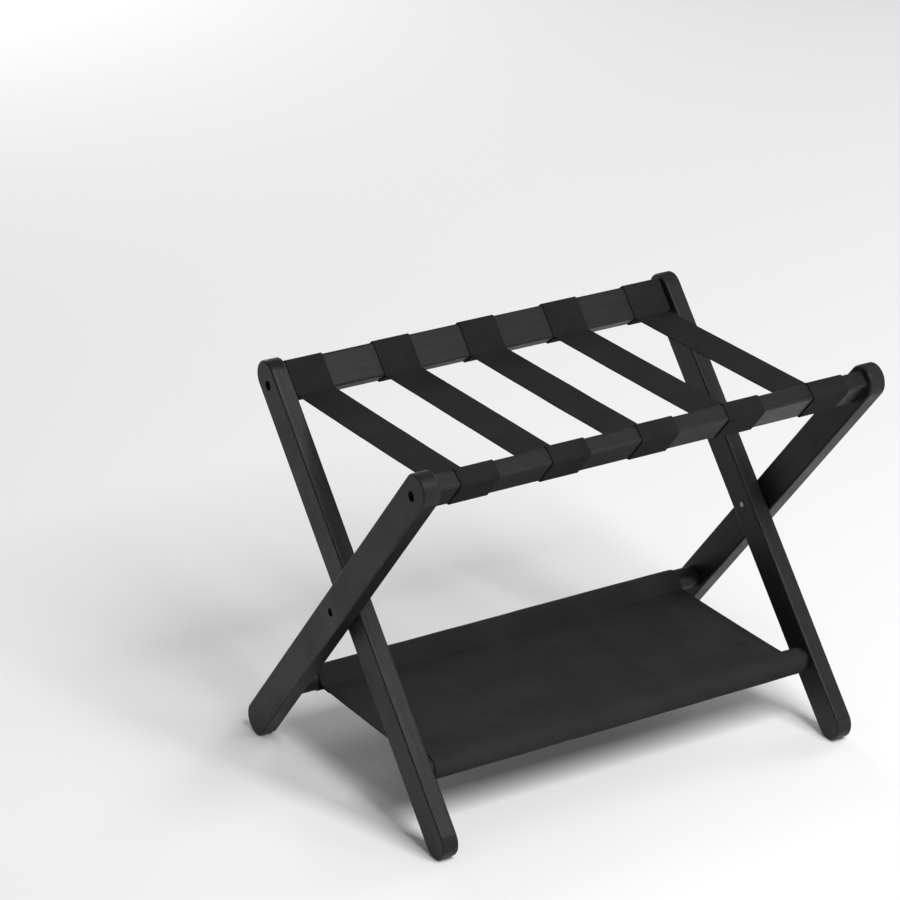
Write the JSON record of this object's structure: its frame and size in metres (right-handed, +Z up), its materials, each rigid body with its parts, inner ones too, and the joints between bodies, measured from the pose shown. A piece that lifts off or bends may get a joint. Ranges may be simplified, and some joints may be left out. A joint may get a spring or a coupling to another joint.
{
  "type": "folding luggage rack",
  "caption": "Folding luggage rack: two crossed leg frames pivoted at the sides, webbing straps across the top rails and a cloth shelf slung between the lower dowels.",
  "frame": {"origin": "centre of the standing footprint, on the floor under the pivots, with the rack open", "axes": "+X to the right along the rails, +Y to the rear, +Z up; the front rail and the feet of the inner legs are at -Y"},
  "size_m": [0.61, 0.4062, 0.4673],
  "materials": {
    "frame_wood": "satin black lacquer over close-grained wood",
    "strap_webbing": "matte woven webbing",
    "shelf_fabric": "matte plain-weave cloth with stitched hems",
    "black_steel": "black oxide, low gloss",
    "zinc_steel": "bright zinc plate",
    "pin_wood": "bare beech",
    "washer_nylon": "black nylon"
  },
  "bodies": {
    "outer_frame": {"outer_leg_left": "frame_wood", "outer_leg_right": "frame_wood", "front_rail": "frame_wood", "rear_dowel": "frame_wood", "front_rail_screws": "black_steel", "front_rail_pins": "pin_wood", "pivot_washer_left": "washer_nylon", "pivot_washer_right": "washer_nylon", "strap_1": "strap_webbing", "strap_2": "strap_webbing", "strap_3": "strap_webbing", "strap_4": "strap_webbing", "strap_5": "strap_webbing", "front_strap_staples": "zinc_steel", "shelf_cloth": "shelf_fabric"},
    "inner_frame": {"inner_leg_left": "frame_wood", "inner_leg_right": "frame_wood", "rear_rail": "frame_wood", "front_dowel": "frame_wood", "rear_rail_screws": "black_steel", "rear_rail_pins": "pin_wood", "pivot_bolt_left": "black_steel", "pivot_bolt_right": "black_steel", "barrel_nut_left": "zinc_steel", "barrel_nut_right": "zinc_steel", "rear_strap_staples": "zinc_steel"}
  },
  "joints": [
    {"name": "fold", "type": "hinge", "parent": "outer_frame", "child": "inner_frame", "pos_m": [0, 0, 0.23291], "axis": [1, 0, 0], "range_deg": [0, 60], "deforming": ["strap_1", "strap_2", "strap_3", "strap_4", "strap_5", "shelf_cloth"]}
  ]
}
